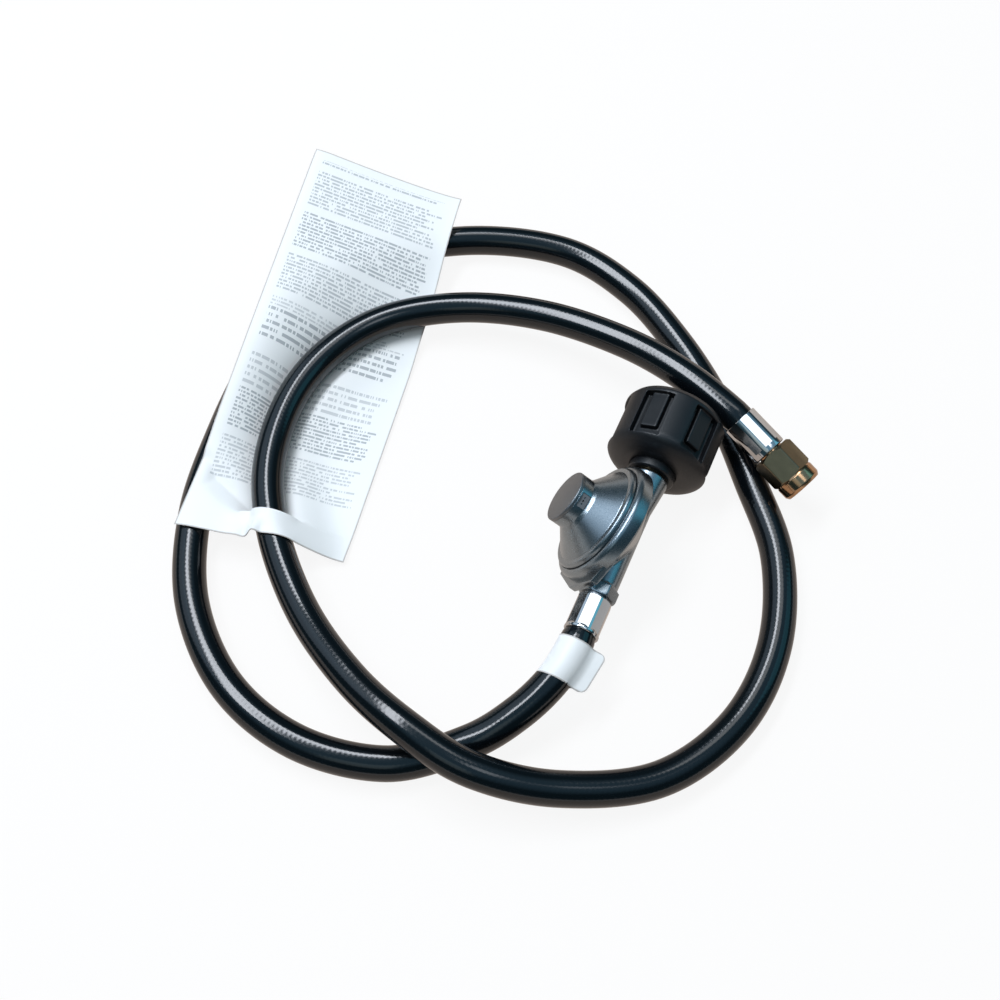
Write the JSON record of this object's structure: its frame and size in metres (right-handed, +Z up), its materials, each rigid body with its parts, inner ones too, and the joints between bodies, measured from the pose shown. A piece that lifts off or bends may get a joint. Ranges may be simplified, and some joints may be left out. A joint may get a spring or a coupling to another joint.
{
  "type": "gas regulator hose",
  "caption": "Low-pressure propane regulator with a hand-wheel inlet nut, a looped rubber hose with crimped ferrules, a brass flare nut, a paper tag and a wrap-round sticker.",
  "frame": {"origin": "centre of the base of the box around the regulator and its hand wheel, on the floor", "axes": "+Y along the gas axis from the hose outlet to the hand-wheel inlet, +Z up, the bonnet leans towards -X"},
  "size_m": [0.3066, 0.3, 0.0552],
  "materials": {
    "cast_zinc": "die-cast zinc, smooth and slightly glossy",
    "black_plastic": "satin moulded plastic",
    "dark_plastic": "matt moulded plastic",
    "hose_rubber": "glossy extruded rubber",
    "black_rubber": "matt rubber",
    "brass": "machined brass",
    "chrome": "bright plated crimp sleeve",
    "spring_steel": "plain steel",
    "white_paper": "smooth coated paper"
  },
  "bodies": {
    "regulator": {"regulator_body": "cast_zinc", "bonnet": "cast_zinc", "bonnet_cap": "cast_zinc", "spring_adjuster": "dark_plastic", "main_spring": "spring_steel", "diaphragm": "black_rubber", "lever_pin": "spring_steel", "inlet_orifice": "brass", "vent_screen": "dark_plastic", "inlet_nipple": "brass", "nipple_seal": "black_rubber", "poppet_spring": "spring_steel", "poppet_retainer": "brass", "outlet_barb": "brass", "outlet_ferrule": "chrome", "hose": "hose_rubber", "flare_ferrule": "chrome", "flare_tail": "brass", "instruction_tag": "white_paper", "hose_label": "white_paper"},
    "wheel": {"handwheel_nut": "black_plastic", "nut_bushing": "dark_plastic"},
    "flare_end": {"flare_nut": "brass"},
    "diaphragm_group": {"diaphragm_plate": "spring_steel", "diaphragm_stem": "spring_steel"},
    "lever": {"valve_lever": "brass", "seat_disc": "black_rubber"},
    "check_poppet": {"poppet": "brass"}
  },
  "joints": [
    {"name": "wheel_spin", "type": "hinge", "parent": "regulator", "child": "wheel", "pos_m": [0.00543, 0.032, 0.024], "axis": [0, 1, 0], "continuous": true},
    {"name": "flare_nut_spin", "type": "hinge", "parent": "regulator", "child": "flare_end", "pos_m": [0.033, 0.057, 0.0288], "axis": [0.8996, -0.3635, -0.2419], "continuous": true},
    {"name": "diaphragm_lift", "type": "slide", "parent": "regulator", "child": "diaphragm_group", "axis": [-0.866, 0, 0.5], "range_m": [0, 0.0016], "stiffness_N_per_m": 1500, "springref_m": -0.001, "deforming": ["main_spring", "diaphragm"]},
    {"name": "lever_swing", "type": "hinge", "parent": "regulator", "child": "lever", "pos_m": [0.0082, -0.00725, 0.0224], "axis": [0.5, 0, 0.866], "range_deg": [-8.8, 0]},
    {"name": "poppet_slide", "type": "slide", "parent": "regulator", "child": "check_poppet", "axis": [0, -1, 0], "range_m": [0, 0.003], "stiffness_N_per_m": 200, "springref_m": -0.001, "deforming": ["poppet_spring"]}
  ],
  "couplings": [
    {"joint": "lever_swing", "follows": "diaphragm_lift", "rad_per_m": -95.238}
  ]
}
